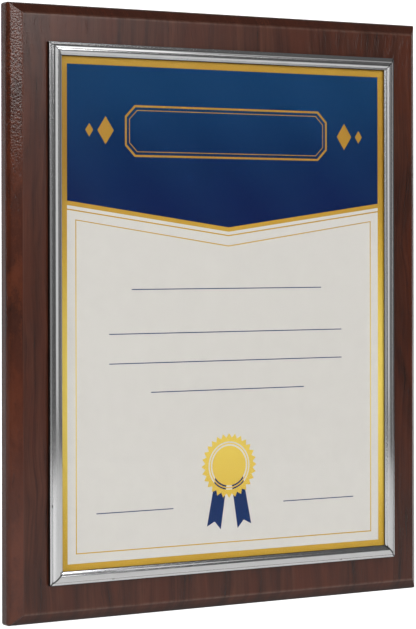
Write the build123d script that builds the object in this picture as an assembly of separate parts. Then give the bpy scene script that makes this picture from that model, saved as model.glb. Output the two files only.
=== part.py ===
from build123d import *
import math
import os

os.makedirs("parts", exist_ok=True)

# A wall plaque that shows one letter sheet: woodgrain board, silver frame, clear cover.
# Millimetres. X is right, Y points back into the wall, Z is up.
# The origin is the centre of the back face.

# Sheets that slide in from the top
paper_width = 215.9
paper_height = 279.4
certificate_thickness = 0.3
backing_card_thickness = 0.6
cover_thickness = 1.0
sheet_gap = 0.05
sheet_side_play = 0.4
sheet_end_play = 0.8
sheet_rest_gap = 0.05

# Board: fibreboard core, woodgrain film over front and sides, paper on the back
core_thickness = 12.7
film_thickness = 0.4
back_sheet_thickness = 0.3
back_sheet_inset = 1.5
board_margin = 20.9
bevel_width = 6.35
nose_radius = 6.0
corner_radius = 1.6

# Frame rails, a hollow drawn section with mitred ends
foot_width = 4.1
lip_overlap = 3.1
lip_thickness = 0.75
lip_fall = 0.22
inner_lip_width = 1.35
outer_lip_width = 1.3
outer_lip_drop = 0.45
chamber_floor_thickness = 0.6
crest_wall = 0.78
crest_from_inner_lip = 1.81
crown_radius = 3.5
edge_break = 0.2
mitre_gap = 0.08

# Corner keys that join the rails inside their hollow chambers
key_width = 2.3
key_thickness = 0.75
key_play = 0.08
key_leg = 15.0

# Screws from the back of the board into the feet of the rails
frame_screw_radius = 1.25
frame_screw_head_radius = 2.3
frame_screw_head_height = 1.6
frame_screw_clearance = 0.25
thread_clearance = 0.02
thread_cover = 0.4
thread_end_space = 0.15
counterbore_depth = 3.7
counterbore_clearance = 0.3
side_screw_inset = 42.0
bottom_screw_inset = 38.0
drive_slot_width = 0.7
drive_slot_depth = 0.8

# Round keyhole hanger plates, sunk flush into the back over bored pockets
key_entry_radius = 4.75
key_slot_radius = 2.3
key_slot_travel = 10.0
head_pocket_clearance = 2.75
head_pocket_depth = 7.0
plate_rim = 7.5
plate_thickness = 1.2
plate_setback = 0.1
plate_edge_gap = 0.15
plate_top_distance = 50.0
plate_side_distance = 45.0

# Countersunk wood screws that hold the hanger plates
wood_screw_radius = 1.45
wood_screw_head_clearance = 0.05
wood_screw_shank = 7.5
wood_screw_tip = 1.5

# Sizes that follow from the ones above
slot_depth = (
    backing_card_thickness + certificate_thickness + cover_thickness + 4 * sheet_gap
)
pocket_width = paper_width + 2 * sheet_side_play
pocket_height = paper_height + sheet_end_play
frame_width = pocket_width + 2 * foot_width
frame_height = pocket_height + 2 * foot_width
rail_width = foot_width + lip_overlap
board_width = frame_width + 2 * board_margin
board_height = frame_height + 2 * board_margin
board_thickness = core_thickness + film_thickness + back_sheet_thickness
front = -board_thickness
core_back = -back_sheet_thickness
core_front = front + film_thickness
inner_lip_top = slot_depth + lip_thickness
outer_lip_top = inner_lip_top - outer_lip_drop
chamber_width = key_width + 2 * key_play
chamber_height = key_thickness + 2 * key_play
chamber_floor = slot_depth + chamber_floor_thickness
crest_height = chamber_floor + chamber_height + crest_wall
crest_at = rail_width - inner_lip_width - crest_from_inner_lip
chamber_inner = crest_at + chamber_width / 2
chamber_outer = chamber_inner - chamber_width


def rod(x, z, y_back, y_front, radius):
    """A round bar along Y between two depths."""
    length = abs(y_back - y_front)
    middle = 0.5 * (y_back + y_front)
    return Pos(x, middle, z) * Rot(90, 0, 0) * Cylinder(radius, length)


def cone_rod(x, z, y_back, y_front, back_radius, front_radius):
    """A cone along Y between two depths."""
    length = abs(y_back - y_front)
    middle = 0.5 * (y_back + y_front)
    return Pos(x, middle, z) * Rot(90, 0, 0) * Cone(back_radius, front_radius, length)


def block(x0, x1, y0, y1, z0, z1):
    """A box given by its limits."""
    return Pos(0.5 * (x0 + x1), 0.5 * (y0 + y1), 0.5 * (z0 + z1)) * Box(
        abs(x1 - x0), abs(y1 - y0), abs(z1 - z0)
    )


def bevelled_section(half, y_back, y_front, bevel, nose):
    """Section of the board across one direction: square back, bevelled front, round nose."""
    outline = Polyline(
        (-half, y_back),
        (half, y_back),
        (half, y_front + bevel),
        (half - bevel, y_front),
        (-half + bevel, y_front),
        (-half, y_front + bevel),
        close=True,
    )
    face = make_face(outline)
    noses = [v for v in face.vertices() if abs(v.Y - (y_front + bevel)) < 1e-6]
    return fillet(noses, nose)


def board_form(width, height, y_back, y_front, bevel, nose, corner):
    """A board bevelled on all four front edges, with mitred bevels and eased corners."""
    across = bevelled_section(width / 2, y_back, y_front, bevel, nose)
    upright = extrude(across, amount=height / 2, both=True)
    along = bevelled_section(height / 2, y_back, y_front, bevel, nose)
    lying = Rot(0, 90, 0) * extrude(along, amount=width / 2, both=True)
    plan = Plane.XZ * RectangleRounded(width, height, corner)
    slab = extrude(plan, amount=2 * board_thickness, both=True)
    return (upright & lying) & slab


def slot_shape(centre_x, centre_z, angle, start, end, radius, y_back, y_front):
    """A straight slot with round ends, cut along Y. Angle turns its long way from Z."""
    dx = math.sin(math.radians(angle))
    dz = math.cos(math.radians(angle))
    x0 = centre_x + start * dx
    z0 = centre_z + start * dz
    x1 = centre_x + end * dx
    z1 = centre_z + end * dz
    middle = block(-radius, radius, y_back, y_front, 0, end - start)
    middle = Pos(x0, 0, z0) * Rot(0, angle, 0) * middle
    first = rod(x0, z0, y_back, y_front, radius)
    last = rod(x1, z1, y_back, y_front, radius)
    return middle + first + last


# Where the frame screws go: two up each side rail and two along the bottom rail
foot_middle = foot_width / 2
side_screw_x = frame_width / 2 - foot_middle
side_screw_z = frame_height / 2 - side_screw_inset
bottom_screw_x = frame_width / 2 - bottom_screw_inset
bottom_screw_z = -(frame_height / 2 - foot_middle)
frame_screw_places = [
    (-side_screw_x, side_screw_z),
    (-side_screw_x, -side_screw_z),
    (side_screw_x, side_screw_z),
    (side_screw_x, -side_screw_z),
    (-bottom_screw_x, bottom_screw_z),
    (bottom_screw_x, bottom_screw_z),
]
thread_length = slot_depth + chamber_floor_thickness - thread_cover
frame_screw_length = board_thickness - counterbore_depth + thread_length

# Where the hanger plates go: one for upright hanging and one for sideways hanging
head_pocket_radius = key_entry_radius + key_slot_travel + head_pocket_clearance
plate_radius = head_pocket_radius + plate_rim
plate_screw_offset = head_pocket_radius + plate_rim / 2
plate_front = -plate_setback - plate_thickness
plate_places = {
    "portrait": (0.0, board_height / 2 - plate_top_distance, 0.0),
    "landscape": (-(board_width / 2 - plate_side_distance), 0.0, -90.0),
}
wood_screw_reach = plate_front - wood_screw_shank - wood_screw_tip


def plate_screw_places(name):
    """The two screw positions of one hanger plate, on either side of its slot."""
    x, z, angle = plate_places[name]
    dx = math.cos(math.radians(angle)) * plate_screw_offset
    dz = -math.sin(math.radians(angle)) * plate_screw_offset
    return [(x - dx, z - dz), (x + dx, z + dz)]


# Board core with its screw holes, counterbores, plate recesses and screw-head pockets
core_bevel = bevel_width - film_thickness * (2 - math.sqrt(2))
board_core = board_form(
    board_width - 2 * film_thickness,
    board_height - 2 * film_thickness,
    core_back,
    core_front,
    core_bevel,
    nose_radius - film_thickness,
    corner_radius - film_thickness,
)
woodgrain_wrap = board_form(
    board_width, board_height, core_back, front, bevel_width, nose_radius, corner_radius
)
woodgrain_wrap = woodgrain_wrap - board_core
back_sheet = block(
    -board_width / 2 + back_sheet_inset,
    board_width / 2 - back_sheet_inset,
    core_back,
    0,
    -board_height / 2 + back_sheet_inset,
    board_height / 2 - back_sheet_inset,
)
hole_radius = frame_screw_radius + frame_screw_clearance
counterbore_radius = frame_screw_head_radius + counterbore_clearance
for x, z in frame_screw_places:
    hole = rod(x, z, 1, front - 1, hole_radius)
    counterbore = rod(x, z, 1, -counterbore_depth, counterbore_radius)
    board_core = board_core - hole - counterbore
    woodgrain_wrap = woodgrain_wrap - hole
    back_sheet = back_sheet - counterbore

for name, (x, z, angle) in plate_places.items():
    recess = rod(x, z, 1, plate_front, plate_radius + plate_edge_gap)
    pocket = rod(x, z, 1, plate_front - head_pocket_depth, head_pocket_radius)
    board_core = board_core - recess - pocket
    back_sheet = back_sheet - recess
    for sx, sz in plate_screw_places(name):
        pilot = rod(
            sx, sz, 0, wood_screw_reach - thread_end_space, wood_screw_radius + thread_clearance
        )
        board_core = board_core - pilot

export_step(board_core, "parts/board_core.step")
export_step(woodgrain_wrap, "parts/woodgrain_wrap.step")
export_step(back_sheet, "parts/back_sheet.step")


def crown_height(across):
    """Height of the rail's rounded crown at a distance in from the outer edge."""
    return crest_height - crown_radius + math.sqrt(crown_radius**2 - (across - crest_at) ** 2)


def rail_section():
    """Section of a rail: X is the way in from the outer edge, Y the height off the board."""
    lip_start = rail_width - inner_lip_width
    lip_edge = inner_lip_top - lip_fall
    wall = Polyline(
        (foot_width, slot_depth),
        (foot_width, 0),
        (0, 0),
        (0, outer_lip_top - edge_break),
        (edge_break, outer_lip_top),
        (outer_lip_width, outer_lip_top),
        (outer_lip_width, crown_height(outer_lip_width)),
    )
    crown = ThreePointArc(
        (outer_lip_width, crown_height(outer_lip_width)),
        (crest_at, crest_height),
        (lip_start, crown_height(lip_start)),
    )
    lip = Polyline(
        (lip_start, crown_height(lip_start)),
        (lip_start, inner_lip_top),
        (rail_width - edge_break, lip_edge),
        (rail_width, lip_edge - edge_break),
        (rail_width, slot_depth),
        (foot_width, slot_depth),
    )
    solid_part = make_face(wall + crown + lip)
    chamber = Pos(
        0.5 * (chamber_outer + chamber_inner), chamber_floor + chamber_height / 2
    ) * Rectangle(chamber_width, chamber_height)
    return solid_part - chamber


def mitred_rail(length, outer_offset):
    """A rail lying along the bottom of the frame, with its outer edge at -outer_offset in Z."""
    start = Plane(
        origin=(-length / 2, front, -outer_offset), x_dir=(0, 0, 1), z_dir=(1, 0, 0)
    )
    bar = extrude(start * rail_section(), amount=length)
    tip = length / 2 - mitre_gap / 2
    corners = Polyline(
        (-tip, -outer_offset),
        (tip, -outer_offset),
        (tip - rail_width, -outer_offset + rail_width),
        (-tip + rail_width, -outer_offset + rail_width),
        close=True,
    )
    plan = make_face(Plane.XZ * corners)
    wedge = extrude(plan, amount=3 * board_thickness, both=True)
    return bar & wedge


def tapped(rail, places):
    """Threaded holes in the foot of a rail, as plain bores."""
    for x, z in places:
        rail = rail - rod(
            x,
            z,
            front + 1,
            front - thread_length - thread_end_space,
            frame_screw_radius + thread_clearance,
        )
    return rail


rail_bottom = tapped(mitred_rail(frame_width, frame_height / 2), frame_screw_places[4:])
rail_left = tapped(
    Rot(0, 90, 0) * mitred_rail(frame_height, frame_width / 2), frame_screw_places[:2]
)
rail_right = tapped(
    Rot(0, -90, 0) * mitred_rail(frame_height, frame_width / 2), frame_screw_places[2:4]
)
rail_top = Rot(0, 180, 0) * mitred_rail(frame_width, frame_height / 2)
entry_slot = block(
    -pocket_width / 2, pocket_width / 2, front + 1, front - slot_depth, 0, frame_height
)
rail_top = rail_top - entry_slot
export_step(rail_top, "parts/rail_top.step")
export_step(rail_bottom, "parts/rail_bottom.step")
export_step(rail_left, "parts/rail_left.step")
export_step(rail_right, "parts/rail_right.step")

# Corner keys, one angle piece across each mitre
key_outer = chamber_outer + key_play
key_inner = chamber_inner - key_play
key_back = front - chamber_floor - key_play
key_front = key_back - key_thickness
key_corners = {
    "corner_key_top_left": (-1, 1),
    "corner_key_top_right": (1, 1),
    "corner_key_bottom_left": (-1, -1),
    "corner_key_bottom_right": (1, -1),
}
for name, (side_x, side_z) in key_corners.items():
    x_out = side_x * (frame_width / 2 - key_outer)
    x_in = side_x * (frame_width / 2 - key_inner)
    x_end = side_x * (frame_width / 2 - key_outer - key_leg)
    z_out = side_z * (frame_height / 2 - key_outer)
    z_in = side_z * (frame_height / 2 - key_inner)
    z_end = side_z * (frame_height / 2 - key_outer - key_leg)
    lying_leg = block(x_out, x_end, key_back, key_front, z_out, z_in)
    upright_leg = block(x_out, x_in, key_back, key_front, z_out, z_end)
    export_step(lying_leg + upright_leg, f"parts/{name}.step")


def cross_recess(x, z, y_face, reach):
    """A cross drive recess sunk into a screw head from its back face."""
    lying = block(
        x - reach,
        x + reach,
        y_face + 0.1,
        y_face - drive_slot_depth,
        z - drive_slot_width / 2,
        z + drive_slot_width / 2,
    )
    upright = block(
        x - drive_slot_width / 2,
        x + drive_slot_width / 2,
        y_face + 0.1,
        y_face - drive_slot_depth,
        z - reach,
        z + reach,
    )
    return lying + upright


# Pan-head screws that hold the frame on the board
screws = []
for x, z in frame_screw_places:
    seat = -counterbore_depth
    top = seat + frame_screw_head_height
    head = rod(x, z, top, seat, frame_screw_head_radius)
    head = chamfer(head.edges().group_by(Axis.Y)[-1], 0.3 * frame_screw_head_height)
    shank = rod(x, z, seat + 0.5, seat - frame_screw_length, frame_screw_radius)
    recess = cross_recess(x, z, top, 0.55 * frame_screw_head_radius)
    screws.append((head + shank - recess).solid())
export_step(Compound(children=screws), "parts/frame_screws.step")

# Hanger plates and their wood screws
head_radius = wood_screw_radius + plate_thickness
plate_screws = []
for name, (x, z, angle) in plate_places.items():
    plate = rod(x, z, -plate_setback, plate_front, plate_radius)
    entry = rod(x, z, 1, plate_front - 1, key_entry_radius)
    hang_slot = slot_shape(
        x, z, angle, 0, key_slot_travel, key_slot_radius, 1, plate_front - 1
    )
    plate = plate - entry - hang_slot
    for sx, sz in plate_screw_places(name):
        sink = cone_rod(
            sx,
            sz,
            -plate_setback,
            plate_front,
            head_radius + wood_screw_head_clearance,
            wood_screw_radius + wood_screw_head_clearance,
        )
        plate = plate - sink
        head = cone_rod(sx, sz, -plate_setback, plate_front, head_radius, wood_screw_radius)
        shank = rod(sx, sz, plate_front, plate_front - wood_screw_shank, wood_screw_radius)
        tip = cone_rod(
            sx,
            sz,
            plate_front - wood_screw_shank,
            wood_screw_reach,
            wood_screw_radius,
            0.25 * wood_screw_radius,
        )
        recess = cross_recess(sx, sz, -plate_setback, 0.5 * head_radius)
        plate_screws.append((head + shank + tip - recess).solid())
    export_step(plate, f"parts/keyhole_plate_{name}.step")
export_step(Compound(children=plate_screws), "parts/hanger_screws.step")

# The three sheets, from the board outwards
sheet_bottom = -pocket_height / 2 + sheet_rest_gap
sheet_top = sheet_bottom + paper_height
card_back = front - sheet_gap
certificate_back = card_back - backing_card_thickness - sheet_gap
cover_back = certificate_back - certificate_thickness - sheet_gap
sheets = {
    "backing_card": (card_back, backing_card_thickness),
    "certificate": (certificate_back, certificate_thickness),
    "clear_cover": (cover_back, cover_thickness),
}
for name, (y_back, thickness) in sheets.items():
    sheet = block(
        -paper_width / 2,
        paper_width / 2,
        y_back,
        y_back - thickness,
        sheet_bottom,
        sheet_top,
    )
    export_step(sheet, f"parts/{name}.step")
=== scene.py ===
import math
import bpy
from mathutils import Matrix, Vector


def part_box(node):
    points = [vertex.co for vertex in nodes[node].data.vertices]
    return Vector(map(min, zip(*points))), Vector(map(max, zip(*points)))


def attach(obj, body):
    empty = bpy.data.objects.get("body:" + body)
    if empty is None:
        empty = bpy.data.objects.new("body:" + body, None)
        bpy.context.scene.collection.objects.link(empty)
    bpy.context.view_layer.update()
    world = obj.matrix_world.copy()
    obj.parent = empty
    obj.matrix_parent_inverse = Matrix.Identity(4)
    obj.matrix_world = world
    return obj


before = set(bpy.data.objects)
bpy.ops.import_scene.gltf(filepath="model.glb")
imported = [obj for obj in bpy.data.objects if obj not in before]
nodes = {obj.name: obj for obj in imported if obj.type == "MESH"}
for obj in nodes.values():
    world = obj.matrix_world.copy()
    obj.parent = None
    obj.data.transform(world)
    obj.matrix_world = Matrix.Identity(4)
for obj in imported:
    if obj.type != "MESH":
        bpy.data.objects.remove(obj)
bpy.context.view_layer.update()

from types import SimpleNamespace

import bpy
from mathutils import Vector
from mathutils.geometry import tessellate_polygon

MM = 0.001

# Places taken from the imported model, in metres; the front of the plaque looks towards -Y
film_low, film_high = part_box("woodgrain_wrap")
sheet_low, sheet_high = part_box("certificate")
face_y = film_low.y
half_width = film_high.x
half_height = film_high.z
opening_half_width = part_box("rail_right")[0].x
opening_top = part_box("rail_top")[0].z
opening_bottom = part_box("rail_bottom")[1].z
opening_half_height = 0.5 * (opening_top - opening_bottom)
frame_middle = 0.5 * (opening_top + opening_bottom)

# The bevel round the board's front, and the edges where the flat front ends
bevel = 6.35 * MM
arris_x = half_width - bevel
arris_z = half_height - bevel


class Graph:
    """Short ways to add nodes to a node tree."""

    def __init__(self, tree):
        self.tree = tree

    def feed(self, socket, value):
        """Links a socket to another one, or sets its value."""
        if isinstance(value, bpy.types.NodeSocket):
            self.tree.links.new(value, socket)
        else:
            socket.default_value = value

    def split(self, vector):
        node = self.tree.nodes.new("ShaderNodeSeparateXYZ")
        self.feed(node.inputs[0], vector)
        return node.outputs

    def vector(self, x, y, z):
        node = self.tree.nodes.new("ShaderNodeCombineXYZ")
        for socket, value in zip(node.inputs, (x, y, z)):
            self.feed(socket, value)
        return node.outputs[0]

    def math(self, operation, a, b=0.0, c=0.0):
        node = self.tree.nodes.new("ShaderNodeMath")
        node.operation = operation
        for socket, value in zip(node.inputs, (a, b, c)):
            self.feed(socket, value)
        return node.outputs[0]

    def plus(self, a, b):
        return self.math("ADD", a, b)

    def minus(self, a, b):
        return self.math("SUBTRACT", a, b)

    def times(self, a, b):
        return self.math("MULTIPLY", a, b)

    def plus_part(self, base, value, factor):
        """base + factor * value"""
        return self.math("MULTIPLY_ADD", value, factor, base)

    def distance(self, a, b):
        return self.math("ABSOLUTE", self.minus(a, b))

    def past(self, value, limit):
        """How far a value lies beyond a limit on either side of zero."""
        return self.minus(self.math("ABSOLUTE", value), limit)

    def rest(self, share):
        """1 - share"""
        return self.minus(1.0, share)

    def span(self, value, start, end, from_share=0.0, to_share=1.0):
        """A soft step from one share to another while the value goes from start to end."""
        node = self.tree.nodes.new("ShaderNodeMapRange")
        node.interpolation_type = "SMOOTHSTEP"
        self.feed(node.inputs["Value"], value)
        node.inputs["From Min"].default_value = start
        node.inputs["From Max"].default_value = end
        node.inputs["To Min"].default_value = from_share
        node.inputs["To Max"].default_value = to_share
        return node.outputs["Result"]

    def noise(self, place, scale, detail, roughness=0.5, distortion=0.0):
        node = self.tree.nodes.new("ShaderNodeTexNoise")
        self.feed(node.inputs["Vector"], place)
        node.inputs["Scale"].default_value = scale
        node.inputs["Detail"].default_value = detail
        node.inputs["Roughness"].default_value = roughness
        node.inputs["Distortion"].default_value = distortion
        return node.outputs["Fac"]

    def streaks(self, place, scales, detail, roughness=0.5, distortion=0.0):
        """Noise that is drawn out each way on its own, for grain and drawn lines."""
        parts = [self.times(part, scale) for part, scale in zip(place, scales)]
        return self.noise(self.vector(*parts), 1.0, detail, roughness, distortion)

    def cells(self, place, scale):
        node = self.tree.nodes.new("ShaderNodeTexVoronoi")
        self.feed(node.inputs["Vector"], place)
        node.inputs["Scale"].default_value = scale
        return node.outputs["Distance"]

    def ramp(self, value, *stops):
        """A colour that changes with a value, given as places and colours."""
        node = self.tree.nodes.new("ShaderNodeValToRGB")
        self.feed(node.inputs[0], value)
        band = node.color_ramp
        while len(band.elements) < len(stops):
            band.elements.new(0.5)
        for element, (place, colour) in zip(band.elements, stops):
            element.position = place
            element.color = (*colour, 1.0)
        return node.outputs[0]

    def mix(self, share, colour, other):
        """A colour of which a share gives way to another, plain colour."""
        node = self.tree.nodes.new("ShaderNodeMix")
        node.data_type = "RGBA"
        self.feed(node.inputs[0], share)
        self.feed(node.inputs[6], colour)
        self.feed(node.inputs[7], (*other, 1.0))
        return node.outputs[2]

    def unscattered(self):
        """1 for rays that have met no matt surface yet, and 0 for others."""
        path = self.tree.nodes.new("ShaderNodeLightPath").outputs
        return self.math("LESS_THAN", path["Diffuse Depth"], 0.5)

    def open_view(self):
        """1 for what the camera sees, also straight through a clear sheet, and 0 for other rays."""
        path = self.tree.nodes.new("ShaderNodeLightPath").outputs
        unmirrored = self.math("LESS_THAN", path["Glossy Depth"], 0.5)
        through = self.times(path["Is Transmission Ray"], self.unscattered())
        through = self.times(through, unmirrored)
        return self.math("MAXIMUM", path["Is Camera Ray"], through)


class Shader(Graph):
    """A node material with one Principled shader."""

    def __init__(self, name):
        self.material = bpy.data.materials.new(name)
        self.material.use_nodes = True
        super().__init__(self.material.node_tree)
        self.tree.nodes.clear()
        self.output = self.tree.nodes.new("ShaderNodeOutputMaterial")
        self.main = self.tree.nodes.new("ShaderNodeBsdfPrincipled")
        self.tree.links.new(self.main.outputs[0], self.output.inputs[0])
        self.place = self.tree.nodes.new("ShaderNodeTexCoord").outputs["Object"]
        self.x, self.y, self.z = self.split(self.place)

    def set(self, **values):
        """Sets or links inputs of the shader; an underscore in a name stands for a space."""
        for name, value in values.items():
            self.feed(self.main.inputs[name.replace("_", " ")], value)

    def bump(self, height, depth, strength):
        node = self.tree.nodes.new("ShaderNodeBump")
        node.inputs["Strength"].default_value = strength
        node.inputs["Distance"].default_value = depth
        self.feed(node.inputs["Height"], height)
        self.tree.links.new(node.outputs[0], self.main.inputs["Normal"])


def linear(red, green, blue):
    """A colour given in display values from 0 to 255, as the linear values that shaders use."""
    parts = []
    for part in (red, green, blue):
        value = part / 255
        if value > 0.04045:
            value = ((value + 0.055) / 1.055) ** 2.4
        else:
            value = value / 12.92
        parts.append(value)
    return tuple(parts)


def grey(level):
    """A neutral colour in linear values."""
    return (level, level, level)


WHITE = (1.0, 1.0, 1.0, 1.0)


# Woodgrain film on the board
def film_zones(s):
    """How far a point lies past the edges of the flat front, and shares that tell where it is."""
    fold = (-0.2 * MM, 0.6 * MM)
    wide_fold = (-0.4 * MM, 0.8 * MM)
    zones = SimpleNamespace()
    zones.past_side = s.past(s.x, arris_x)
    zones.past_end = s.past(s.z, arris_z)
    side_of_mitre = s.minus(zones.past_side, s.math("MAXIMUM", zones.past_end, 0.0))
    end_of_mitre = s.minus(zones.past_end, s.math("MAXIMUM", zones.past_side, 0.0))
    zones.on_side = s.span(side_of_mitre, *fold)
    zones.on_end = s.span(end_of_mitre, *fold)
    zones.on_bevel = s.span(s.math("MAXIMUM", zones.past_side, zones.past_end), *wide_fold)
    zones.on_top = s.times(zones.on_end, s.math("GREATER_THAN", s.z, 0.0))
    zones.on_bottom = s.times(zones.on_end, s.math("LESS_THAN", s.z, 0.0))
    return zones


def walnut_grain(s, zones):
    """The patterns of the printed grain, which runs upright and goes round the bevels."""
    width_from_depth = 0.85
    wander_reach = 0.016
    rings_per_metre = 95.0
    ring_drift = 7.5
    ring_sharpness = 2.2
    grain = SimpleNamespace()
    across = s.plus_part(s.x, s.times(s.y, zones.on_side), width_from_depth)
    depth = s.plus_part(s.y, zones.on_end, s.minus(face_y, s.y))
    wander = s.streaks((across, depth, s.z), (26, 3, 13), detail=2.0)
    across = s.plus_part(across, wander, wander_reach)
    place = (across, depth, s.z)
    grain.patches = s.streaks(place, (70, 8, 17), detail=3.0, roughness=0.6)
    grain.warmth = s.streaks(place, (60, 8, 12), detail=2.0, distortion=0.6)
    grain.broad = s.streaks(place, (95, 8, 3.4), detail=3.0, roughness=0.55, distortion=0.3)
    grain.blotch = s.streaks(place, (150, 110, 42), detail=3.0, roughness=0.6)
    grain.fibre = s.streaks(place, (1300, 400, 26), detail=4.0, roughness=0.6)
    grain.thread = s.streaks(place, (420, 160, 9), detail=3.0, roughness=0.55)
    grain.pores = s.span(s.streaks(place, (2300, 900, 95), detail=2.0), 0.6, 0.7)
    drift = s.streaks(place, (14, 3, 4.2), detail=2.0)
    ring_number = s.plus_part(s.times(across, rings_per_metre), drift, ring_drift)
    wave = s.math("SINE", s.times(ring_number, 2 * math.pi))
    grain.rings = s.math("POWER", s.plus_part(0.5, wave, 0.5), ring_sharpness)
    return grain


def walnut_colour(s, grain):
    """The colour of the printed grain on the flat front, darkened to the lower right by painted shade.
    """
    tone = s.plus_part(s.times(grain.thread, 0.36), grain.broad, 0.34)
    tone = s.plus_part(tone, grain.fibre, 0.30)
    tone = s.plus_part(tone, grain.rings, -0.07)
    tone = s.plus(tone, s.span(grain.patches, 0.36, 0.60, -0.06, 0.05))
    # Painted shade: the tone is made darker towards the lower right
    painted_shade_lower_right = s.times(s.span(s.x, 0.06, 0.12), s.span(s.z, 0.08, -0.02))
    tone = s.plus_part(tone, painted_shade_lower_right, -0.07)
    colour = s.ramp(
        tone,
        (0.28, linear(42, 19, 10)),
        (0.42, linear(59, 27, 15)),
        (0.54, linear(72, 35, 21)),
        (0.68, linear(88, 47, 31)),
    )
    colour = s.mix(s.span(grain.warmth, 0.42, 0.64, 0.0, 0.5), colour, linear(86, 37, 18))
    return s.mix(s.times(grain.pores, 0.35), colour, linear(30, 14, 9))


def bevel_colour(s, zones, grain, colour, mottle):
    """Bevel colours: painted shade on the plain top and the bottom, worn folds with painted highlight,
    mottled sides with painted light.
    """
    shade_start = face_y + 1.0 * MM
    shade_end = face_y + 6.5 * MM
    slope_end = face_y + 6.0 * MM
    nose_end = face_y + 8.8 * MM
    side_fold_reach = (0.5 * MM, 0.1 * MM)
    end_fold_reach = (1.2 * MM, 0.2 * MM)
    # Painted shade: the top bevel turns towards a plain darker brown
    colour = s.mix(s.times(zones.on_top, 0.6), colour, linear(66, 31, 19))
    # Painted shade: the bottom bevel darkens towards its back edge
    painted_bottom_shade = s.times(zones.on_bottom, s.span(s.y, shade_start, shade_end, 0.0, 0.75))
    colour = s.mix(painted_bottom_shade, colour, linear(30, 15, 9))
    # Folds along the bevel edges: lighter partly from wear and partly as a painted highlight
    side_fold = s.span(s.math("ABSOLUTE", zones.past_side), *side_fold_reach, 0.0, 0.25)
    side_fold = s.times(side_fold, s.rest(zones.on_end))
    end_fold = s.span(s.math("ABSOLUTE", zones.past_end), *end_fold_reach, 0.0, 0.75)
    end_fold = s.times(end_fold, s.rest(zones.on_side))
    fold_wear_and_highlight_share = s.span(grain.thread, 0.3, 0.65, 0.2, 0.5)
    fold_wear_and_highlight = s.times(s.math("MAXIMUM", side_fold, end_fold), fold_wear_and_highlight_share)
    colour = s.mix(fold_wear_and_highlight, colour, linear(120, 92, 80))
    # Painted light: the side slopes get a lighter warm brown in mottles, for light from the side
    on_slope = s.times(zones.on_side, s.span(s.y, nose_end, slope_end))
    painted_side_light = s.times(on_slope, s.span(mottle, 0.36, 0.62, 0.1, 1.0))
    return s.mix(painted_side_light, colour, linear(92, 43, 23))


def woodgrain_film():
    """Satin film printed with dark walnut grain, pebbled on the side bevels, most of all at the top."""
    s = Shader("woodgrain_film")
    zones = film_zones(s)
    grain = walnut_grain(s, zones)
    pebble = s.noise(s.place, 1000.0, detail=2.0)
    pebble_share = s.span(s.z, 0.04, 0.15, 0.2, 1.0)
    mottle = s.plus_part(grain.blotch, s.minus(pebble, 0.5), pebble_share)
    colour = bevel_colour(s, zones, grain, walnut_colour(s, grain), mottle)
    relief = s.plus_part(s.times(grain.fibre, 0.3), grain.pores, -0.5)
    side_pebble = s.times(s.times(pebble, pebble_share), zones.on_side)
    relief = s.plus_part(relief, side_pebble, 2.3)
    s.bump(relief, 0.12 * MM, 0.55)
    rough = s.plus_part(0.20, grain.thread, 0.05)
    rough = s.plus_part(rough, zones.on_bevel, -0.05)
    rough = s.plus_part(rough, zones.on_bottom, 0.55)
    s.set(Base_Color=colour, Roughness=rough)
    return s.material


# Metals
def drawn_metal(name, along):
    """Bright drawn aluminium, dull and with painted shade at the foot and on the cut inner edge, dark
    in the mitre joints.
    """
    scales = {"x": (9, 1500, 1500), "z": (1500, 1500, 9)}[along]
    cut_edge = {"x": 0.42 * MM, "z": 0.22 * MM}[along]
    cut_blur = 0.14 * MM
    foot_height = 1.9 * MM
    foot_blur = 0.4 * MM
    line_start = 1.0 * MM
    line_end = 2.6 * MM
    line_blur = 0.4 * MM
    joint_edge = 0.4 * MM
    joint_core = 0.15 * MM
    bottom_joint_scale = 0.45
    s = Shader(name)
    lines = s.streaks((s.x, s.y, s.z), scales, detail=3.0, roughness=0.6)
    colour = s.ramp(lines, (0.25, grey(0.74)), (0.75, (0.79, 0.79, 0.795)))
    past_x = s.past(s.x, opening_half_width)
    past_z = s.past(s.minus(s.z, frame_middle), opening_half_height)
    past_edge = {"x": past_z, "z": past_x}[along]
    # Painted shade: the foot and the cut inner edge turn near black; they are also rougher
    foot = s.span(s.y, face_y - foot_height - foot_blur, face_y - foot_height)
    dull_and_painted_shade = s.math("MAXIMUM", foot, s.span(past_edge, cut_edge, cut_edge - cut_blur))
    colour = s.mix(dull_and_painted_shade, colour, (0.035, 0.031, 0.029))
    # Painted shade: a dark line near the inner edge, at the left end of the bottom rail
    after_start = s.span(past_edge, line_start, line_start + line_blur)
    before_end = s.span(past_edge, line_end, line_end - line_blur)
    left_end = s.times(s.span(s.x, -0.055, -0.09), s.math("LESS_THAN", s.z, opening_bottom))
    painted_shade_line = s.times(s.times(after_start, before_end), s.times(left_end, 0.75))
    colour = s.mix(painted_shade_line, colour, (0.16, 0.16, 0.165))
    # Mitre joints, more than twice as wide at the bottom corners as at the top ones
    joint_scale = s.span(s.z, -0.05, 0.05, bottom_joint_scale, 1.0)
    from_mitre = s.times(s.distance(past_x, past_z), joint_scale)
    joint = s.span(from_mitre, joint_edge, joint_core, 0.0, 0.9)
    colour = s.mix(joint, colour, grey(0.03))
    rough = s.plus_part(0.10, lines, 0.02)
    rough = s.plus_part(rough, dull_and_painted_shade, 0.32)
    s.bump(lines, 0.02 * MM, 0.006)
    s.set(Base_Color=colour, Roughness=rough, Metallic=1.0)
    return s.material


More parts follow.
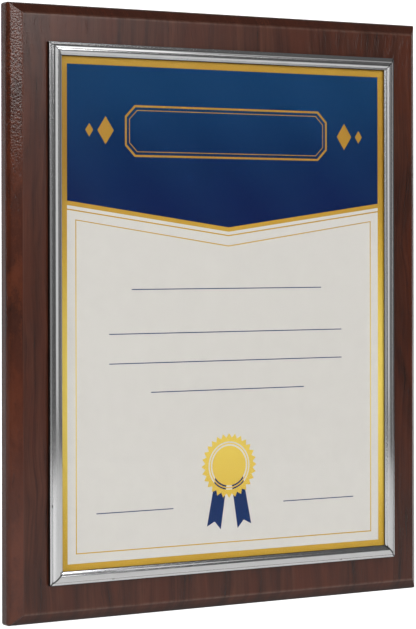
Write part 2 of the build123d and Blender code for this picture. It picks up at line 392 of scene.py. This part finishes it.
def zinc_plate(name, dark, light):
    """Zinc plate with a faint crystal mottle and light handling marks."""
    s = Shader(name)
    mottle = s.cells(s.place, 900.0)
    cloud = s.noise(s.place, 160.0, detail=3.0, roughness=0.55)
    marks = s.streaks((s.x, s.y, s.z), (300, 300, 2600), detail=2.0)
    colour = s.ramp(mottle, (0.1, dark), (0.7, light))
    colour = s.mix(s.span(cloud, 0.5, 0.75, 0.0, 0.35), colour, linear(192, 188, 170))
    s.bump(marks, 0.03 * MM, 0.35)
    s.set(Base_Color=colour, Roughness=s.plus_part(0.22, cloud, 0.18), Metallic=1.0)
    return s.material


# Boards, papers and inks
def fibreboard():
    """Raw fibreboard: pressed brown fibres with small dark flecks."""
    s = Shader("fibreboard")
    fluff = s.noise(s.place, 650.0, detail=5.0, roughness=0.65)
    flecks = s.span(s.noise(s.place, 1900.0, detail=2.0), 0.6, 0.72)
    colour = s.ramp(fluff, (0.3, linear(122, 94, 64)), (0.7, linear(166, 134, 97)))
    colour = s.mix(s.times(flecks, 0.4), colour, linear(86, 62, 42))
    s.bump(fluff, 0.15 * MM, 0.6)
    s.set(Base_Color=colour, Roughness=0.9)
    return s.material


def pressed_paper(name, dark, light, tooth):
    """Uncoated paper or card with cloudy formation and a fine tooth."""
    s = Shader(name)
    cloud = s.noise(s.place, 130.0, detail=4.0, roughness=0.6)
    fibres = s.noise(s.place, 2600.0, detail=3.0, roughness=0.6)
    tone = s.plus_part(s.times(cloud, 0.55), fibres, 0.45)
    colour = s.ramp(tone, (0.3, dark), (0.7, light))
    s.bump(fibres, 0.04 * MM, tooth)
    s.set(Base_Color=colour, Roughness=0.82, Specular_IOR_Level=0.15)
    return s.material


def ink_grain(s, scale):
    """Fine unevenness of print, which also gives the ink its relief."""
    grain = s.noise(s.place, scale, detail=3.0, roughness=0.6)
    s.bump(grain, 0.03 * MM, 0.25)
    return grain


def header_ink():
    """Dark blue print that deepens downwards, crossed by very faint slanting bands."""
    s = Shader("header_ink")
    grain = ink_grain(s, 2400.0)
    colour = s.ramp(
        s.span(s.z, 0.045, 0.135),
        (0.0, linear(17, 30, 74)),
        (0.5, linear(16, 42, 82)),
        (1.0, linear(21, 57, 96)),
    )
    slant = s.plus_part(s.times(s.x, 34.0), s.z, 26.0)
    bands = s.math("PINGPONG", slant, 1.0)
    colour = s.mix(s.times(bands, 0.08), colour, linear(44, 84, 130))
    colour = s.mix(s.span(grain, 0.45, 0.8, 0.0, 0.05), colour, linear(60, 92, 130))
    s.set(Base_Color=colour, Roughness=0.55, Specular_IOR_Level=0.02)
    return s.material


def ribbon_ink():
    """Dark blue print for the ribbon tails and the ruled lines."""
    s = Shader("ribbon_ink")
    grain = ink_grain(s, 2400.0)
    colour = s.ramp(grain, (0.3, linear(22, 38, 82)), (0.75, linear(40, 62, 108)))
    s.set(Base_Color=colour, Roughness=0.6, Specular_IOR_Level=0.02)
    return s.material


def gold_ink():
    """Gold print with a painted sheen that rolls soft light and dark down the sheet."""
    s = Shader("gold_ink")
    grain = ink_grain(s, 1500.0)
    # Painted sheen: the gold is lightest at this height and darker above and below it
    sheen_brightest_z = -0.045
    turns = 22.0
    wave = s.math("COSINE", s.times(s.minus(s.z, sheen_brightest_z), turns))
    painted_sheen = s.plus_part(0.5, wave, 0.5)
    tone = s.plus_part(s.times(painted_sheen, 0.84), grain, 0.16)
    colour = s.ramp(
        tone,
        (0.1, linear(173, 128, 38)),
        (0.5, linear(207, 167, 58)),
        (0.9, linear(229, 198, 91)),
    )
    s.set(Base_Color=colour, Roughness=0.45, Specular_IOR_Level=0.2)
    return s.material


def clear_acrylic():
    """Clear gloss sheet that lets lamps through to the paper behind it."""
    s = Shader("clear_acrylic")
    smear = s.noise(s.place, 18.0, detail=3.0)
    s.set(
        Base_Color=(0.95, 0.97, 0.97, 1.0),
        Roughness=s.plus_part(0.01, smear, 0.03),
        Transmission_Weight=1.0,
        IOR=1.13,
    )
    path = s.tree.nodes.new("ShaderNodeLightPath")
    open_way = s.tree.nodes.new("ShaderNodeBsdfTransparent")
    open_way.inputs["Color"].default_value = WHITE
    pick = s.tree.nodes.new("ShaderNodeMixShader")
    s.tree.links.new(path.outputs["Is Shadow Ray"], pick.inputs[0])
    s.tree.links.new(s.main.outputs[0], pick.inputs[1])
    s.tree.links.new(open_way.outputs[0], pick.inputs[2])
    s.tree.links.new(pick.outputs[0], s.output.inputs[0])
    return s.material


def dress(name, material):
    """Gives a CAD node one material."""
    materials = nodes[name].data.materials
    materials.clear()
    materials.append(material)


film = woodgrain_film()
upright_metal = drawn_metal("rail_metal_upright", "z")
lying_metal = drawn_metal("rail_metal_lying", "x")
plate_zinc = zinc_plate("plate_zinc", linear(176, 179, 182), linear(205, 207, 206))
screw_zinc = zinc_plate("screw_zinc", linear(128, 129, 130), linear(158, 159, 158))
cream_paper = pressed_paper("cream_paper", linear(208, 202, 196), linear(214, 208, 202), 0.35)
black_paper = pressed_paper("black_paper", linear(24, 24, 25), linear(42, 42, 43), 0.6)
grey_card = pressed_paper("grey_card", linear(138, 135, 127), linear(166, 163, 155), 0.6)
navy = header_ink()
ribbon = ribbon_ink()
gold = gold_ink()

dress("woodgrain_wrap", film)
dress("board_core", fibreboard())
dress("back_sheet", black_paper)
dress("backing_card", grey_card)
dress("certificate", cream_paper)
dress("clear_cover", clear_acrylic())
for side in ("left", "right"):
    dress("rail_" + side, upright_metal)
for end in ("top", "bottom"):
    dress("rail_" + end, lying_metal)
for node_name in nodes:
    if node_name.startswith(("corner_key", "keyhole_plate")):
        dress(node_name, plate_zinc)
    elif node_name.endswith("_screws"):
        dress(node_name, screw_zinc)

# The print on the sheet: closed plates of ink on the paper's front face, in millimetres
ink_gap = 0.004
ink_thickness = 0.012
clear_of_header = 0.002
over_header = 0.013
over_ribbon = 0.014
circle_points = 72


def plate(loops, back, front):
    """Vertices and faces of one flat plate, from an outer loop and its holes in x and z."""
    outlines = [[Vector((x, z, 0)) for x, z in loop] for loop in loops]
    points = [point for outline in outlines for point in outline]
    count = len(points)
    vertices = [(point.x * MM, y, point.y * MM) for y in (back, front) for point in points]
    faces = []
    for a, b, c in tessellate_polygon(outlines):
        if (points[b] - points[a]).cross(points[c] - points[a]).z > 0:
            b, c = c, b
        faces.append((a, b, c))
        faces.append((count + a, count + c, count + b))
    start = 0
    for loop in loops:
        for i in range(len(loop)):
            here = start + i
            following = start + (i + 1) % len(loop)
            faces.append((here, following, count + following, count + here))
        start += len(loop)
    return vertices, faces


def ink(name, material, shapes, lift=0.0):
    """One piece of print: plates of ink that move with the sheet."""
    back = sheet_low.y - (ink_gap + lift) * MM
    front = back - ink_thickness * MM
    vertices = []
    faces = []
    for loops in shapes:
        start = len(vertices)
        plate_vertices, plate_faces = plate(loops, back, front)
        vertices.extend(plate_vertices)
        faces.extend([start + index for index in face] for face in plate_faces)
    mesh = bpy.data.meshes.new(name)
    mesh.from_pydata(vertices, [], faces)
    mesh.validate()
    mesh.update()
    mesh.materials.append(material)
    piece = bpy.data.objects.new(name, mesh)
    bpy.context.scene.collection.objects.link(piece)
    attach(piece, "insert")


def rectangle(left, bottom, right, top):
    return [(left, bottom), (right, bottom), (right, top), (left, top)]


def lozenge(middle_x, middle_z, half_wide, half_tall):
    return [
        (middle_x - half_wide, middle_z),
        (middle_x, middle_z - half_tall),
        (middle_x + half_wide, middle_z),
        (middle_x, middle_z + half_tall),
    ]


def cut_rectangle(half, bottom, top, cut):
    """A rectangle on the middle line, with its corners cut off."""
    return [
        (-half + cut, bottom),
        (half - cut, bottom),
        (half, bottom + cut),
        (half, top - cut),
        (half - cut, top),
        (-half + cut, top),
        (-half, top - cut),
        (-half, bottom + cut),
    ]


def pointed_edge(half, side_z, tip_z):
    """An edge that points down in the middle, from left to right."""
    return [(-half, side_z), (0, tip_z), (half, side_z)]


def circle(middle_z, radius):
    points = []
    for i in range(circle_points):
        angle = 2 * math.pi * i / circle_points
        points.append((radius * math.cos(angle), middle_z + radius * math.sin(angle)))
    return points


def starburst(middle_z, outer, inner, tips):
    """Points out and in by turns, from the top."""
    points = []
    for i in range(2 * tips):
        radius = outer if i % 2 == 0 else inner
        angle = math.pi / 2 + math.pi * i / tips
        points.append((radius * math.cos(angle), middle_z + radius * math.sin(angle)))
    return points


# Gold border
paper_margin = 0.4
border = 6.0
paper_x = sheet_high.x / MM - paper_margin
paper_top = sheet_high.z / MM - paper_margin
paper_bottom = sheet_low.z / MM + paper_margin
field_x = paper_x - border
field_top = paper_top - border
field_bottom = paper_bottom + border
border_loops = [
    rectangle(-paper_x, paper_bottom, paper_x, paper_top),
    rectangle(-field_x, field_bottom, field_x, field_top),
]
ink("print_border", gold, [border_loops])

# Blue header with a shallow point, and two gold rules under it
header_side = 60.0
header_tip = 46.0
broad_rule = (0.0, 2.4)
narrow_rule = (4.2, 4.9)


def header_edge(drop):
    """The header's lower edge, moved down."""
    return pointed_edge(field_x, header_side - drop, header_tip - drop)


header = header_edge(0) + [(field_x, field_top), (-field_x, field_top)]
ink("print_header", navy, [[header]])
rules = []
for upper_drop, lower_drop in (broad_rule, narrow_rule):
    rules.append([header_edge(lower_drop) + header_edge(upper_drop)[::-1]])
ink("print_header_rules", gold, rules, clear_of_header)

# Bare panel in the header: two lines, each given by the inset and the cut of its two edges
panel_half = 66.0
panel_low = 84.0
panel_high = 112.0
panel_middle = 0.5 * (panel_low + panel_high)
broad_line = ((0.0, 6.0), (1.1, 5.5))
fine_line = ((2.6, 4.9), (3.0, 4.7))
panel_shapes = []
for line_edges in (broad_line, fine_line):
    loops = []
    for inset, cut in line_edges:
        loops.append(cut_rectangle(panel_half - inset, panel_low + inset, panel_high - inset, cut))
    panel_shapes.append(loops)
# A large and a small lozenge on each side: distance from the middle, half width and half height
large_lozenge = (78.0, 5.0, 7.5)
small_lozenge = (88.0, 2.4, 3.6)
for from_middle, half_wide, half_tall in (large_lozenge, small_lozenge):
    for direction in (-1, 1):
        panel_shapes.append([lozenge(direction * from_middle, panel_middle, half_wide, half_tall)])
ink("print_title_panel", gold, panel_shapes, over_header)

# Fine inner line round the cream field
line_inset = 5.0
line_drop = 10.0
line_width = 0.6


def inner_loop(inset):
    """The line's outer edge, moved inwards."""
    half = field_x - line_inset - inset
    bottom = field_bottom + line_inset + inset
    drop = line_drop + inset
    upper_edge = pointed_edge(half, header_side - drop, header_tip - drop)
    return [(-half, bottom), (half, bottom)] + upper_edge[::-1]


ink("print_inner_line", gold, [[inner_loop(0), inner_loop(line_width)]])

# Blank ruled lines: left end, right end and height
rule_width = 0.5
ruled_lines = [
    (-62, 62, 12.0),
    (-76, 76, -12.0),
    (-76, 76, -28.0),
    (-50, 50, -44.0),
    (-84, -36, -108.0),
    (36, 84, -108.0),
]
rule_shapes = [[rectangle(left, z, right, z + rule_width)] for left, right, z in ruled_lines]
ink("print_ruled_lines", ribbon, rule_shapes)

# Rosette with two ribbon tails, the right one a mirror of the left
rosette_z = -86.0
tail_points = [(-9.0, -6.0), (-1.5, -9.0), (-5.5, -35.0), (-9.5, -30.5), (-14.5, -33.0)]
left_tail = [(x, rosette_z + z) for x, z in tail_points]
right_tail = [(-x, z) for x, z in reversed(left_tail)]
ink("print_ribbon", ribbon, [[left_tail], [right_tail]])
burst_outer = 18.0
burst_inner = 15.6
burst_tips = 28
burst_hole = 13.4
ring_outer = 12.6
ring_inner = 11.9
disc_radius = 11.0
burst = starburst(rosette_z, burst_outer, burst_inner, burst_tips)
rosette_shapes = [
    [burst, circle(rosette_z, burst_hole)],
    [circle(rosette_z, ring_outer), circle(rosette_z, ring_inner)],
    [circle(rosette_z, disc_radius)],
]
ink("print_rosette", gold, rosette_shapes, over_ribbon)

# Camera: level, to the left of the plaque, framed by shift
focal_pixels = 2355.42
horizon_pixel = 249.58
frame_height = 629
camera_place = (-0.69534, -1.12007, 0.03376)
camera_roll = 0.106
camera_turn = -31.665
camera_data = bpy.data.cameras.new("camera")
camera_data.sensor_fit = "AUTO"
camera_data.sensor_width = 36.0
camera_data.lens = focal_pixels * camera_data.sensor_width / frame_height
camera_data.shift_y = (horizon_pixel - frame_height / 2) / frame_height
camera_data.clip_start = 0.05
camera_data.clip_end = 50.0
camera = bpy.data.objects.new("camera", camera_data)
bpy.context.scene.collection.objects.link(camera)
camera.location = camera_place
camera.rotation_euler = (math.radians(90), math.radians(camera_roll), math.radians(camera_turn))
bpy.context.scene.camera = camera


# Pale floor with a raised back, white to the eye
def floor_material():
    """Matt pale floor with a glow of its own: strong for the eye, weak for other rays."""
    s = Shader("pale_floor")
    cloud = s.noise(s.place, 3.0, detail=2.0)
    open_view = s.open_view()
    seen = s.times(open_view, s.span(s.y, 0.2, 1.4, 0.80, 1.0))
    near = s.span(s.y, -0.95, -0.55, 0.04, 0.17)
    front_left = s.times(s.span(s.x, -0.3, -0.7, 0.0, 0.2), s.span(s.y, 0.0, -0.3))
    far = s.span(s.y, 0.5, 2.0, 0.0, 0.16)
    back_left = s.times(s.span(s.x, -0.6, -1.3), s.span(s.z, -0.05, 0.45))
    weak = s.plus(s.plus(near, front_left), far)
    weak = s.plus_part(weak, back_left, -0.3)
    s.set(
        Base_Color=s.ramp(cloud, (0.3, grey(0.84)), (0.7, grey(0.88))),
        Roughness=0.9,
        Emission_Color=WHITE,
        Emission_Strength=s.plus_part(seen, s.rest(open_view), weak),
    )
    return s.material


def floor_shape():
    """Vertices and faces: a half disc in front, and a strip that goes back and sweeps up."""
    floor_z = -0.225
    front_radius = 1.57
    front_steps = 48
    half_floor = 4.0
    back_y = 3.0
    back_top = 3.0
    sweep_radius = 0.6
    sweep_steps = 12
    profile = [(0.0, floor_z)]
    for i in range(sweep_steps + 1):
        angle = 0.5 * math.pi * i / sweep_steps
        y = back_y - sweep_radius + sweep_radius * math.sin(angle)
        z = floor_z + sweep_radius - sweep_radius * math.cos(angle)
        profile.append((y, z))
    profile.append((back_y, back_top))
    vertices = []
    faces = []
    for i, (y, z) in enumerate(profile):
        vertices.append((-half_floor, y, z))
        vertices.append((half_floor, y, z))
        if i:
            faces.append((2 * i - 2, 2 * i - 1, 2 * i + 1, 2 * i))
    front_edge = []
    for i in range(front_steps + 1):
        angle = math.pi + math.pi * i / front_steps
        front_edge.append(len(vertices))
        vertices.append((front_radius * math.cos(angle), front_radius * math.sin(angle), floor_z))
    faces.append(front_edge)
    return vertices, faces


floor_vertices, floor_faces = floor_shape()
floor_mesh = bpy.data.meshes.new("floor")
floor_mesh.from_pydata(floor_vertices, [], floor_faces)
floor_mesh.polygons.foreach_set("use_smooth", [True] * len(floor_faces))
floor_mesh.update()
floor_mesh.materials.append(floor_material())
floor = bpy.data.objects.new("floor", floor_mesh)
bpy.context.scene.collection.objects.link(floor)

# A studio that is white to the eye and behind the object, and dim to other rays
dim_level = 0.09
behind_start = 0.62
behind_full = 0.86
world = bpy.data.worlds.new("studio")
world.use_nodes = True
studio = Graph(world.node_tree)
bearing = studio.tree.nodes.new("ShaderNodeTexCoord").outputs["Generated"]
backwards = studio.split(bearing)[1]
behind = studio.times(studio.span(backwards, behind_start, behind_full), studio.unscattered())
white_share = studio.math("MAXIMUM", studio.open_view(), behind)
surround = studio.tree.nodes["Background"]
surround.inputs["Color"].default_value = WHITE
studio.feed(surround.inputs["Strength"], studio.plus_part(dim_level, white_share, 1.0 - dim_level))
bpy.context.scene.world = world


# Lamps
def panel_lamp(name, turn, tilt, size, brightness, distance=4.0):
    """A flat lamp that faces the origin: turned to the right of the front, tilted up, in degrees."""
    wide, tall = size
    turn = math.radians(turn)
    tilt = math.radians(tilt)
    level = math.cos(tilt)
    way = Vector((math.sin(turn) * level, -math.cos(turn) * level, math.sin(tilt)))
    light = bpy.data.lights.new(name, "AREA")
    light.shape = "RECTANGLE"
    light.size = wide
    light.size_y = tall
    light.energy = brightness * math.pi * wide * tall
    lamp = bpy.data.objects.new(name, light)
    bpy.context.scene.collection.objects.link(lamp)
    lamp.location = distance * way
    lamp.rotation_euler = (math.radians(90) - tilt, 0.0, turn)


panel_lamp("front_panel", turn=-4.5, tilt=25, size=(4.0, 2.14), brightness=1.7)
panel_lamp("overhead_panel", turn=0, tilt=55, size=(4.6, 1.85), brightness=0.9)
panel_lamp("overhead_right", turn=58, tilt=48.6, size=(0.8, 1.2), brightness=0.35)
panel_lamp("rail_panel", turn=31, tilt=39, size=(1.05, 1.6), brightness=0.8)
panel_lamp("right_panel", turn=104, tilt=2, size=(1.3, 2.2), brightness=1.0)
panel_lamp("sheen_panel", turn=20.0, tilt=15.7, size=(1.0, 0.91), brightness=7.6)
panel_lamp("left_panel", turn=-63, tilt=18.5, size=(1.3, 1.4), brightness=7.4)
panel_lamp("front_strip", turn=-6.5, tilt=2, size=(3.7, 1.2), brightness=0.6, distance=5.0)
panel_lamp("middle_strip", turn=21.2, tilt=1.5, size=(1.25, 1.3), brightness=0.2, distance=5.0)
panel_lamp("right_strip", turn=52, tilt=2, size=(1.05, 1.2), brightness=0.25, distance=5.0)

bpy.context.scene.view_settings.view_transform = "Standard"
